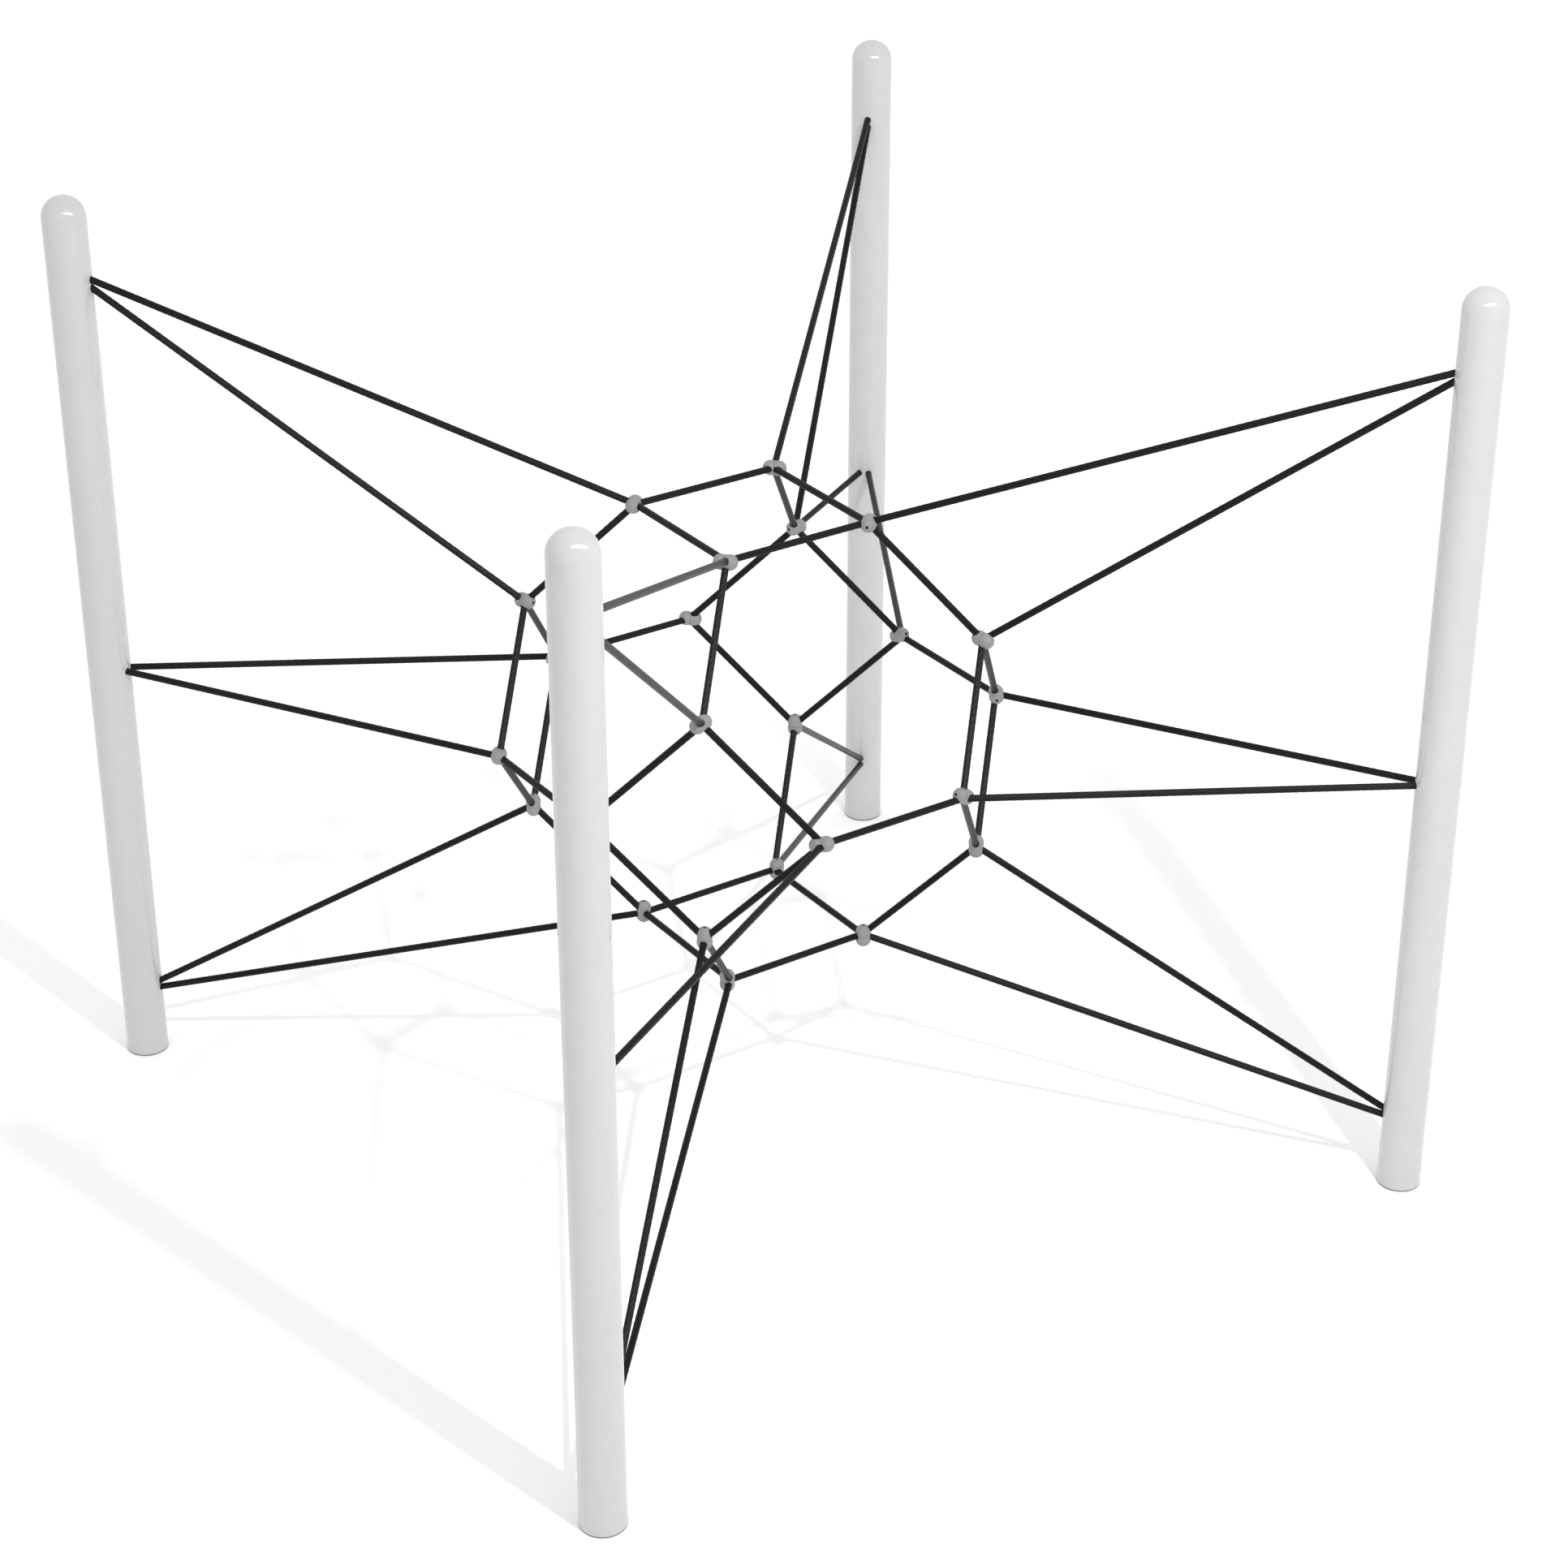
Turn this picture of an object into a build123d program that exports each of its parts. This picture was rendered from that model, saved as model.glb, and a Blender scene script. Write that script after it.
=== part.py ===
from build123d import *
import math
import os

# Four-post net climber, in millimetres. +Z is up, the origin is on the ground midway between the posts.
# The net is a truncated octahedron of equal ropes: every corner lies at a reordering of (0, 1, 2)
# corner steps.

# Posts
post_axis_radius = 1750.0       # centre of the climber to each post's axis
post_height = 2500.0            # ground to the top of the dome
post_diameter = 114.3
post_wall = 3.6
dome_sleeve_length = 40.0       # reach of the dome's sleeve inside the tube
dome_sleeve_wall = 3.1
slip_clearance = 0.1            # between a piece that slides into the tube and the tube
foot_plate_thickness = 12.0
foot_bolt_circle = 70.0
foot_bolt_hole = 14.0           # tapping size of an M16 thread
foot_bolt_count = 4

# Net
net_centre_height = 1190.0
net_edge = 420.0                # between the centres of two joined connectors
rope_diameter = 18.0

# Where the tethers' lines meet the post axes
upper_anchor_below_top = 198.0
middle_anchor_above_centre = 1.0
lower_anchor_above_ground = 187.0

# Inside the posts
wall_hole_clearance = 0.4       # around a rope where it passes the tube's wall
rope_to_block_gap = 0.4         # between a rope's end and the anchor block's face
pair_clearance = 0.6            # between two ropes that leave a post one above the other
stud_diameter = 12.0
stud_clearance = 0.05
stud_depth = 15.0               # radial reach of a stud into its anchor block
block_margin = 9.0              # metal around the stud holes
block_back_wall = 6.0           # metal behind the stud holes

# Connectors
connector_cover = 11.05         # shell around a rope's radius, so the body is 40 mm thick
connector_half_spine = 11.5     # half the distance between the two rounded ends' centres
connector_waist_depth = 1.0     # how far the middle is drawn in
seam_gap = 0.3
port_clearance = 0.3
port_half_web = 0.5             # half the least metal between two ports
ferrule_diameter = 9.0
least_ferrule_length = 4.0
screw_diameter = 4.0
screw_head_diameter = 7.0
screw_head_height = 4.0
screw_head_depth = 9.0          # from the rounded end to the top of the screw's head
screw_engagement = 8.0          # thread in the far half
screw_clearance = 0.25
screw_socket_width = 3.0
screw_socket_depth = 2.0
least_rope_seat = 3.0           # every rope end lies at least this deep in its connector

upward = (Align.CENTER, Align.CENTER, Align.MIN)
downward = (Align.CENTER, Align.CENTER, Align.MAX)

corner_step = net_edge / math.sqrt(2)
rope_radius = rope_diameter / 2
post_radius = post_diameter / 2
tube_bore_radius = post_radius - post_wall
tube_height = post_height - post_radius
connector_radius = rope_radius + connector_cover
block_face_radius = tube_bore_radius - slip_clearance
rope_end_radius = block_face_radius + rope_to_block_gap
anchor_height = {
    "upper": post_height - upper_anchor_below_top,
    "middle": net_centre_height + middle_anchor_above_centre,
    "lower": lower_anchor_above_ground,
}

# Quarter turns from the right-hand post (+X) to each post.
posts = {"right": 0, "back": 1, "left": 2, "front": 3}

# One entry per kind of connector: its corner in steps, the long axis of its body towards the screw, and
# how far the body sits off the ropes' crossing. All are (away from the centre, to the left of that, up).
connectors = {
    "top": {"corner": (1, 0, 2), "axis": (0, -1, 0), "offset": (3.4, -1.8, -1.0)},
    "upper": {"corner": (2, 0, 1), "axis": (-0.85, 0.51, 0.10), "offset": (1.0, -3.1, 1.6)},
    "middle_left": {"corner": (2, 1, 0), "axis": (0.20, -0.97, -0.12), "offset": (2.1, -3.7, 0.6)},
    "middle_right": {"corner": (2, -1, 0), "axis": (-0.55, -0.69, 0.47), "offset": (1.0, 7.9, 2.5)},
    "lower": {"corner": (2, 0, -1), "axis": (0, 0, 1), "offset": (-0.9, -0.6, 0.0)},
    "bottom": {"corner": (1, 0, -2), "axis": (0, 0, 1), "offset": (2.9, -6.6, 0.0)},
}

# Share of its offset that each body keeps once its ropes are seated.
offset_share = {kind: 1.0 for kind in connectors}
offset_share_step = 0.05

# Ropes of the net, once per quarter: the second connector may belong to the next quarter on the left.
net_ropes = {
    "top_square": [("top", 0, "top", 1)],
    "upper_link": [("top", 0, "upper", 0)],
    "side_square_upper": [("upper", 0, "middle_left", 0), ("upper", 0, "middle_right", 0)],
    "middle_link": [("middle_left", 0, "middle_right", 1)],
    "side_square_lower": [("lower", 0, "middle_left", 0), ("lower", 0, "middle_right", 0)],
    "lower_link": [("lower", 0, "bottom", 0)],
    "bottom_square": [("bottom", 0, "bottom", 1)],
}

# The two connectors that each anchor holds, the upper or left one first.
tether_ends = {
    "upper": ("top", "upper"),
    "middle": ("middle_left", "middle_right"),
    "lower": ("lower", "bottom"),
}


def turned(shape, quarters):
    return Rot(0, 0, 90 * quarters) * shape


def corner_point(kind, quarters=0):
    across, left, up = (steps * corner_step for steps in connectors[kind]["corner"])
    return Vector(across, left, up + net_centre_height).rotate(Axis.Z, 90 * quarters)


def rod(start, end, radius):
    run = end - start
    return Plane(origin=start, z_dir=run) * Cylinder(radius, run.length, align=upward)


def rope_slope(level, kind):
    corner = corner_point(kind)
    return (corner.Z - anchor_height[level]) / (post_axis_radius - math.hypot(corner.X, corner.Y))


def pair_spread(level):
    # Half the height between two tethers' lines on the post axis, so that the ropes are clear of each
    # other at the wall.
    if level == "middle":
        return 0.0
    steep = [rope_slope(level, kind) for kind in tether_ends[level]]
    half_heights = sum(rope_radius * math.hypot(1, slope) for slope in steep)
    apart_at_wall = abs(steep[0] - steep[1]) * rope_end_radius
    return max(0.0, (half_heights + pair_clearance - apart_at_wall) / 2)


def anchor_point(level, kind):
    side = 1 if kind == tether_ends[level][0] else -1
    return Vector(post_axis_radius, 0, anchor_height[level] + side * pair_spread(level))


def legs_of(kind):
    # Directions of the ropes that meet in this connector, by the name of what each leads to.
    here = corner_point(kind)
    legs = {}
    for name, pairs in net_ropes.items():
        for first, first_quarter, second, second_quarter in pairs:
            if first == kind:
                there = corner_point(second, second_quarter - first_quarter)
                legs[(name, second, "out")] = (there - here).normalized()
            if second == kind:
                there = corner_point(first, first_quarter - second_quarter)
                legs[(name, first, "in")] = (there - here).normalized()
    for level, kinds in tether_ends.items():
        if kind in kinds:
            legs[("tether", level, "out")] = (anchor_point(level, kind) - here).normalized()
    return legs


def body_axis(kind):
    return Vector(*connectors[kind]["axis"]).normalized()


def body_centre(kind):
    return corner_point(kind) + Vector(*connectors[kind]["offset"]) * offset_share[kind]


def screw_clears(kind, leg, start, radius):
    # True if a rod of this radius that begins at this distance from the crossing stays clear of the
    # screw and its hole.
    centre = body_centre(kind)
    axis = body_axis(kind)
    frame = Plane(origin=corner_point(kind) + leg * start, z_dir=leg)
    for turn in range(0, 360, 15):
        for along in (0.0, 2.0, 4.0, 8.0, 12.0):
            across = Vector(radius, 0, 0).rotate(Axis.Z, turn)
            rim = frame.from_local_coords(across + Vector(0, 0, along))
            height = (rim - centre).dot(axis)
            gap = ((rim - centre) - axis * height).length
            hole = screw_head_diameter if height > screw_seat_height() - 1 else screw_diameter
            if height > -screw_engagement - 2 and gap < hole / 2 + 2 * screw_clearance + port_clearance:
                return False
    return True


def screw_seat_height():
    return connector_half_spine + connector_radius - screw_head_depth - screw_head_height


def rod_start(kind, leg, radius):
    # Distance from the ropes' crossing at which a rod of this radius clears its neighbours and the screw.
    others = [other for other in legs_of(kind).values() if (other - leg).length > 0.001]
    half_angle = math.radians(min(leg.get_angle(other) for other in others)) / 2
    start = (radius + port_clearance + port_half_web) / math.tan(half_angle) + port_clearance
    while not screw_clears(kind, leg, start, radius):
        start += 0.25
    return start


def ferrule_start(kind, leg):
    return rod_start(kind, leg, ferrule_diameter / 2)


def rope_start(kind, leg):
    return max(rod_start(kind, leg, rope_radius), ferrule_start(kind, leg) + least_ferrule_length)


def rope_seat(kind, leg):
    # Where the rope starts and where it leaves its connector's body, from the ropes' crossing.
    start = rope_start(kind, leg)
    leaves = start
    while True:
        offset = corner_point(kind) + leg * leaves - body_centre(kind)
        along = offset.dot(body_axis(kind))
        along = max(-connector_half_spine, min(connector_half_spine, along))
        if (offset - body_axis(kind) * along).length > connector_radius:
            return start, leaves
        leaves += 0.25


def shallowest_seat(kind):
    seats = [rope_seat(kind, leg) for leg in legs_of(kind).values()]
    return min(leaves - start for start, leaves in seats)


def settle_bodies():
    # A body moves back towards its ropes' crossing until every rope lies deep enough in it.
    for kind in connectors:
        while shallowest_seat(kind) < least_rope_seat and offset_share[kind] > offset_share_step:
            offset_share[kind] -= offset_share_step


def connector_body():
    # Two rounded ends joined by a waist arc that is tangent to both.
    waist_radius = connector_radius - connector_waist_depth
    squares = waist_radius**2 + connector_half_spine**2 - connector_radius**2
    waist_arc = squares / (2 * connector_waist_depth)
    arc_centre = waist_radius + waist_arc
    reach = connector_radius / (connector_radius + waist_arc)
    meet_out = arc_centre * reach
    meet_up = connector_half_spine * (1 - reach)
    tip = connector_half_spine + connector_radius
    shoulder = math.radians((math.degrees(math.atan2(meet_up - connector_half_spine, meet_out)) + 90) / 2)
    bulge_out = connector_radius * math.cos(shoulder)
    bulge_up = connector_half_spine + connector_radius * math.sin(shoulder)
    outline = Wire(
        [
            ThreePointArc((0, tip), (bulge_out, bulge_up), (meet_out, meet_up)),
            ThreePointArc((meet_out, meet_up), (waist_radius, 0), (meet_out, -meet_up)),
            ThreePointArc((meet_out, -meet_up), (bulge_out, -bulge_up), (0, -tip)),
            Line((0, -tip), (0, tip)),
        ]
    )
    profile = Plane.XZ * make_face(outline)
    return revolve(profile, Axis.Z)


def connector_pieces(kind):
    tip = connector_half_spine + connector_radius
    seat = screw_seat_height()
    frame = Plane(origin=body_centre(kind), z_dir=body_axis(kind))
    body = connector_body()
    space = 4 * connector_radius
    near_half = body & Pos(0, 0, seam_gap / 2) * Box(space, space, space, align=upward)
    far_half = body & Pos(0, 0, -seam_gap / 2) * Box(space, space, space, align=downward)

    head_hole = Pos(0, 0, seat) * Cylinder(screw_head_diameter / 2 + screw_clearance, tip, align=upward)
    shank_hole = Cylinder(screw_diameter / 2 + screw_clearance, tip, align=upward)
    thread_radius = screw_diameter / 2 + stud_clearance
    thread_hole = Pos(0, 0, -screw_engagement - 1) * Cylinder(thread_radius, tip, align=upward)
    near_half = frame * (near_half - head_hole - shank_hole)
    far_half = frame * (far_half - thread_hole)

    for leg in legs_of(kind).values():
        here = corner_point(kind)
        rope_port = (rope_start(kind, leg), rope_radius)
        ferrule_port = (ferrule_start(kind, leg), ferrule_diameter / 2)
        for start, radius in (rope_port, ferrule_port):
            port = rod(here + leg * (start - port_clearance), here + leg * space, radius + port_clearance)
            near_half -= port
            far_half -= port

    shank = Pos(0, 0, seat) * Cylinder(screw_diameter / 2, seat + screw_engagement, align=downward)
    head = Pos(0, 0, seat) * Cylinder(screw_head_diameter / 2, screw_head_height, align=upward)
    socket_floor = seat + screw_head_height - screw_socket_depth
    socket = Pos(0, 0, socket_floor) * extrude(
        RegularPolygon(screw_socket_width / 2, 6, major_radius=False), amount=screw_head_height
    )
    screw = frame * (shank + head - socket)
    return near_half, far_half, screw


def ferrules_of(kind, tethers):
    here = corner_point(kind)
    pieces = []
    for key, leg in legs_of(kind).items():
        if (key[0] == "tether") == tethers:
            inner = ferrule_start(kind, leg)
            outer = rope_start(kind, leg)
            pieces.append(rod(here + leg * inner, here + leg * outer, ferrule_diameter / 2))
    return pieces


def net_rope(first, first_quarter, second, second_quarter):
    here = corner_point(first, first_quarter)
    there = corner_point(second, second_quarter)
    run = (there - here).normalized()
    start = rope_start(first, run.rotate(Axis.Z, -90 * first_quarter))
    finish = rope_start(second, (run * -1).rotate(Axis.Z, -90 * second_quarter))
    return rod(here + run * start, there - run * finish, rope_radius)


def post_axis_rod(radius, low, high):
    return Pos(post_axis_radius, 0, low) * Cylinder(radius, high - low, align=upward)


def tether(level, kind):
    here = corner_point(kind)
    there = anchor_point(level, kind)
    run = (there - here).normalized()
    start = rope_start(kind, run)
    rope = rod(here + run * start, there, rope_radius)
    return rope - post_axis_rod(rope_end_radius, 0, post_height)


def stud(level, kind, clearance=0.0):
    # The threaded stud on a tether's end, from the rope's end to its depth in the anchor block.
    there = anchor_point(level, kind)
    run = (corner_point(kind) - there).normalized()
    shortening = math.hypot(run.X, run.Y)
    deep = (block_face_radius - stud_depth - clearance) / shortening
    far = 2 * rope_end_radius
    piece = rod(there + run * deep, there + run * far, stud_diameter / 2 + clearance)
    return piece & post_axis_rod(rope_end_radius + clearance, 0, post_height)


def anchor_block(level):
    points = []
    for kind in tether_ends[level]:
        there = anchor_point(level, kind)
        run = (corner_point(kind) - there).normalized()
        shortening = math.hypot(run.X, run.Y)
        for radial in (block_face_radius, block_face_radius - stud_depth):
            points.append(there + run * (radial / shortening))
    reach = stud_diameter / 2 + block_margin
    half_width = max(abs(point.Y) for point in points) + reach
    low = min(point.Z for point in points) - reach
    high = max(point.Z for point in points) + reach
    depth = stud_depth + block_back_wall
    outer_face = post_axis_radius - block_face_radius
    inward = (Align.MIN, Align.CENTER, Align.MIN)
    bar = Pos(outer_face, 0, low) * Box(depth, 2 * half_width, high - low, align=inward)
    block = bar & post_axis_rod(block_face_radius, 0, post_height)
    for kind in tether_ends[level]:
        block -= stud(level, kind, stud_clearance)
    return block


def post_tube():
    tube = post_axis_rod(post_radius, 0, tube_height) - post_axis_rod(tube_bore_radius, 0, tube_height)
    for level, kinds in tether_ends.items():
        for kind in kinds:
            there = anchor_point(level, kind)
            run = (corner_point(kind) - there).normalized()
            inner, outer = there + run * stud_depth, there + run * 3 * post_radius
            tube -= rod(inner, outer, rope_radius + wall_hole_clearance)
    return tube


def post_dome():
    sleeve_outer = tube_bore_radius - slip_clearance
    sleeve_inner = sleeve_outer - dome_sleeve_wall
    inner_radius = tube_bore_radius
    inner_rise = math.sqrt(inner_radius**2 - sleeve_inner**2)
    outer_mid = post_radius * math.sqrt(0.5)
    inner_mid = math.radians((90 + math.degrees(math.asin(inner_rise / inner_radius))) / 2)
    outline = Wire(
        [
            Line((sleeve_outer, 0), (post_radius, 0)),
            ThreePointArc((post_radius, 0), (outer_mid, outer_mid), (0, post_radius)),
            Line((0, post_radius), (0, inner_radius)),
            ThreePointArc(
                (0, inner_radius),
                (inner_radius * math.cos(inner_mid), inner_radius * math.sin(inner_mid)),
                (sleeve_inner, inner_rise),
            ),
            Line((sleeve_inner, inner_rise), (sleeve_inner, -dome_sleeve_length)),
            Line((sleeve_inner, -dome_sleeve_length), (sleeve_outer, -dome_sleeve_length)),
            Line((sleeve_outer, -dome_sleeve_length), (sleeve_outer, 0)),
        ]
    )
    return Pos(post_axis_radius, 0, tube_height) * revolve(Plane.XZ * make_face(outline), Axis.Z)


def foot_plate():
    plate = post_axis_rod(tube_bore_radius - slip_clearance, 0, foot_plate_thickness)
    for index in range(foot_bolt_count):
        turn = math.radians(45 + index * 360 / foot_bolt_count)
        hole_x = foot_bolt_circle / 2 * math.cos(turn)
        hole_y = foot_bolt_circle / 2 * math.sin(turn)
        plate -= Pos(hole_x, hole_y, 0) * post_axis_rod(foot_bolt_hole / 2, 0, foot_plate_thickness)
    return plate


def save(name, pieces):
    solids = [solid for piece in pieces for solid in piece.solids()]
    export_step(solids[0] if len(solids) == 1 else Compound(children=solids), f"parts/{name}.step")


def check_seats():
    # Every rope must end well inside its connector.
    for kind in connectors:
        for key, leg in legs_of(kind).items():
            start, leaves = rope_seat(kind, leg)
            seat = leaves - start
            print(f"{kind:13s} {key[0]:18s} {key[1]:13s} starts {start:5.2f}, seat {seat:5.2f}")
            if seat < least_rope_seat:
                print("  the rope ends too near the connector's skin")


os.makedirs("parts", exist_ok=True)
settle_bodies()
check_seats()

tube = post_tube()
dome = post_dome()
plate = foot_plate()
blocks = [anchor_block(level) for level in tether_ends]
for name, quarters in posts.items():
    save(f"{name}_post_tube", [turned(tube, quarters)])
    save(f"{name}_post_dome", [turned(dome, quarters)])
    save(f"{name}_post_foot_plate", [turned(plate, quarters)])
    save(f"{name}_post_anchor_blocks", [turned(block, quarters) for block in blocks])

for level, kinds in tether_ends.items():
    ropes = [tether(level, kind) for kind in kinds]
    studs = [stud(level, kind) for kind in kinds]
    for name, quarters in posts.items():
        save(f"{name}_{level}_tethers", [turned(rope, quarters) for rope in ropes])
    all_studs = [turned(piece, quarters) for quarters in posts.values() for piece in studs]
    save(f"{level}_tether_studs", all_studs)

for name, pairs in net_ropes.items():
    ropes = [net_rope(*pair) for pair in pairs]
    save(f"{name}_ropes", [turned(rope, quarters) for quarters in posts.values() for rope in ropes])

rings = {
    "top": ["top"],
    "upper": ["upper"],
    "middle": ["middle_left", "middle_right"],
    "lower": ["lower"],
    "bottom": ["bottom"],
}
for ring, kinds in rings.items():
    near_halves, far_halves, screws = zip(*(connector_pieces(kind) for kind in kinds))
    labels = {"screw_halves": near_halves, "thread_halves": far_halves, "screws": screws}
    for label, pieces in labels.items():
        copies = [turned(piece, quarters) for quarters in posts.values() for piece in pieces]
        save(f"{ring}_connector_{label}", copies)

for label, tethers in (("net_rope_ferrules", False), ("tether_ferrules", True)):
    pieces = [ferrule for kind in connectors for ferrule in ferrules_of(kind, tethers)]
    save(label, [turned(piece, quarters) for quarters in posts.values() for piece in pieces])
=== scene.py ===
import bpy
import bmesh
import math
import numpy as np
from mathutils import Matrix, Vector


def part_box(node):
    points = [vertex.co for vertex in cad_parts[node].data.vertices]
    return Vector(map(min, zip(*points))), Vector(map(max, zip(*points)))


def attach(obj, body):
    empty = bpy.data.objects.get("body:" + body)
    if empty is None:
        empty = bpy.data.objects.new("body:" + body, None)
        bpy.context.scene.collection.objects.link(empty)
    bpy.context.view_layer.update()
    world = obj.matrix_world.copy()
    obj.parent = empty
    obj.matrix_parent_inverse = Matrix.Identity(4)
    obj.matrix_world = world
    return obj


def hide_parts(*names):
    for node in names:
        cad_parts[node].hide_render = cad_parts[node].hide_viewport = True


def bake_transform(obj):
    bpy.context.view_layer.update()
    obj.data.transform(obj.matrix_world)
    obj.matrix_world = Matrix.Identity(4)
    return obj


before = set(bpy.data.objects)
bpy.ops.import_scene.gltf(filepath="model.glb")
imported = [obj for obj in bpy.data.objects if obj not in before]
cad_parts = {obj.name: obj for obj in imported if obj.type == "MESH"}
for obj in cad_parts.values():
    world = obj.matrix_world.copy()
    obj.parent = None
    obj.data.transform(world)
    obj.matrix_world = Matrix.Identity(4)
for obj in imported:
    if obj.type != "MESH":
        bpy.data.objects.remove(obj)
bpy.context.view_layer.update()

# direction of each post from the middle, and the levels at which its ropes enter
postSides = {"right": (1, 0, 0), "back": (0, 1, 0), "left": (-1, 0, 0), "front": (0, -1, 0)}
tetherLevels = ["upper", "middle", "lower"]
netRopeKinds = [
    "top_square", "upper_link", "side_square_upper", "middle_link",
    "side_square_lower", "lower_link", "bottom_square",
]
connectorRings = ["top", "upper", "middle", "lower", "bottom"]


# camera

cameraView = {
    "lens": 79.154, "sensor": 36, "azimuth": 10.992, "elevation": 28.010,
    "distance": 8.9765, "aim": (0.0847, 0.0, 1.0243), "farthest": 100,
}


def makeCamera(view):
    azimuth = math.radians(view["azimuth"])
    elevation = math.radians(view["elevation"])
    flat = math.cos(elevation)
    back = Vector((math.sin(azimuth) * flat, -math.cos(azimuth) * flat, math.sin(elevation)))
    data = bpy.data.cameras.new("camera")
    data.lens = view["lens"]
    data.sensor_width = view["sensor"]
    data.clip_end = view["farthest"]
    camera = bpy.data.objects.new("camera", data)
    bpy.context.scene.collection.objects.link(camera)
    camera.location = Vector(view["aim"]) + back * view["distance"]
    camera.rotation_euler = back.to_track_quat("Z", "Y").to_euler()
    bpy.context.scene.camera = camera


makeCamera(cameraView)
print("camera placed")


# building nodes

def fill(tree, node, inputs):
    for key, value in inputs.items():
        if isinstance(value, bpy.types.NodeSocket):
            tree.links.new(value, node.inputs[key])
        else:
            node.inputs[key].default_value = value
    return node


def addNode(tree, kind, inputs, **settings):
    node = tree.nodes.new("ShaderNode" + kind)
    for key, value in settings.items():
        setattr(node, key, value)
    return fill(tree, node, inputs)


def addMath(tree, operation, *values):
    node = addNode(tree, "Math", dict(enumerate(values)), operation=operation)
    return node.outputs[0]


def addMix(tree, factor, first, second):
    node = addNode(tree, "Mix", {}, data_type="RGBA")
    # the colour pair of a Mix node is its seventh and eighth input
    fill(tree, node, {0: factor, 6: first, 7: second})
    return node.outputs[2]


def addSpan(tree, value, low, high, toLow=0.0, toHigh=1.0):
    inputs = {"Value": value, "From Min": low, "From Max": high, "To Min": toLow, "To Max": toHigh}
    return addNode(tree, "MapRange", inputs).outputs["Result"]


def addNoise(tree, place, scale, detail):
    inputs = {"Vector": place, "Scale": scale, "Detail": detail}
    return addNode(tree, "TexNoise", inputs).outputs["Fac"]


def addBump(tree, height, strength, distance):
    inputs = {"Height": height, "Strength": strength, "Distance": distance}
    return addNode(tree, "Bump", inputs).outputs["Normal"]


def startGroup(name, inputs, outputs):
    tree = bpy.data.node_groups.new(name, "ShaderNodeTree")
    for label, kind in inputs.items():
        tree.interface.new_socket(name=label, in_out="INPUT", socket_type="NodeSocket" + kind)
    for label, kind in outputs.items():
        tree.interface.new_socket(name=label, in_out="OUTPUT", socket_type="NodeSocket" + kind)
    return tree, tree.nodes.new("NodeGroupInput").outputs, tree.nodes.new("NodeGroupOutput")


def placeGroup(tree, group, inputs):
    node = tree.nodes.new("ShaderNodeGroup")
    node.node_tree = group
    return fill(tree, node, inputs).outputs


def startMaterial(name, constants):
    material = bpy.data.materials.new(name)
    material.use_nodes = True
    shader = material.node_tree.nodes["Principled BSDF"]
    fill(material.node_tree, shader, constants)
    return material, material.node_tree, shader


def objectPlace(tree):
    return tree.nodes.new("ShaderNodeTexCoord").outputs["Object"]


# effects that several materials share

driftShape = {"detail": 4.0, "mottleTimes": 14.0, "mottleDetail": 3.0, "low": 0.75, "high": 1.25}


def makeToneDrift():
    # a slow drift between two tones, with a finer mottle in it
    given = {"Vector": "Vector", "Scale": "Float", "Tone": "Color", "Other Tone": "Color"}
    tree, inputs, result = startGroup("toneDrift", given, {"Color": "Color", "Mask": "Float"})
    place, scale = inputs["Vector"], inputs["Scale"]
    slow = addNoise(tree, place, scale, driftShape["detail"])
    mottleScale = addMath(tree, "MULTIPLY", scale, driftShape["mottleTimes"])
    mottle = addNoise(tree, place, mottleScale, driftShape["mottleDetail"])
    both = addMath(tree, "ADD", slow, mottle)
    mask = addSpan(tree, both, driftShape["low"], driftShape["high"])
    color = addMix(tree, mask, inputs["Tone"], inputs["Other Tone"])
    fill(tree, result, {"Color": color, "Mask": mask})
    return tree


grainShape = {"detail": 2.0, "speckTimes": 0.6}


def makeFineGrain():
    # small random relief, as a height for a Bump node and as specks
    given = {"Vector": "Vector", "Scale": "Float", "Speck": "Float"}
    tree, inputs, result = startGroup("fineGrain", given, {"Height": "Float", "Specks": "Float"})
    place, scale = inputs["Vector"], inputs["Scale"]
    height = addNoise(tree, place, scale, grainShape["detail"])
    speckScale = addMath(tree, "MULTIPLY", scale, grainShape["speckTimes"])
    cells = addNode(tree, "TexVoronoi", {"Vector": place, "Scale": speckScale}, feature="F1")
    specks = addMath(tree, "LESS_THAN", cells.outputs["Distance"], inputs["Speck"])
    fill(tree, result, {"Height": height, "Specks": specks})
    return tree


dustShape = {"patchScale": 38.0, "patchDetail": 5.0, "patchShare": 0.9, "bare": 1.1, "full": 0.3}


def makeGroundDust():
    # dust and splashes that thin out with height above the ground
    given = {"Vector": "Vector", "Reach": "Float", "Amount": "Float"}
    tree, inputs, result = startGroup("groundDust", given, {"Mask": "Float"})
    height = addNode(tree, "SeparateXYZ", {"Vector": inputs["Vector"]}).outputs["Z"]
    patches = addNoise(tree, inputs["Vector"], dustShape["patchScale"], dustShape["patchDetail"])
    share = addMath(tree, "DIVIDE", height, inputs["Reach"])
    patchy = addMath(tree, "MULTIPLY_ADD", patches, dustShape["patchShare"], share)
    fade = addSpan(tree, patchy, dustShape["bare"], dustShape["full"])
    fill(tree, result, {"Mask": addMath(tree, "MULTIPLY", fade, inputs["Amount"])})
    return tree


toneDrift = makeToneDrift()
fineGrain = makeFineGrain()
groundDust = makeGroundDust()


# materials

def placeDrift(tree, place, look, scale):
    tones = {"Vector": place, "Scale": scale, "Tone": look["tone"], "Other Tone": look["otherTone"]}
    return placeGroup(tree, toneDrift, tones)


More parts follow.
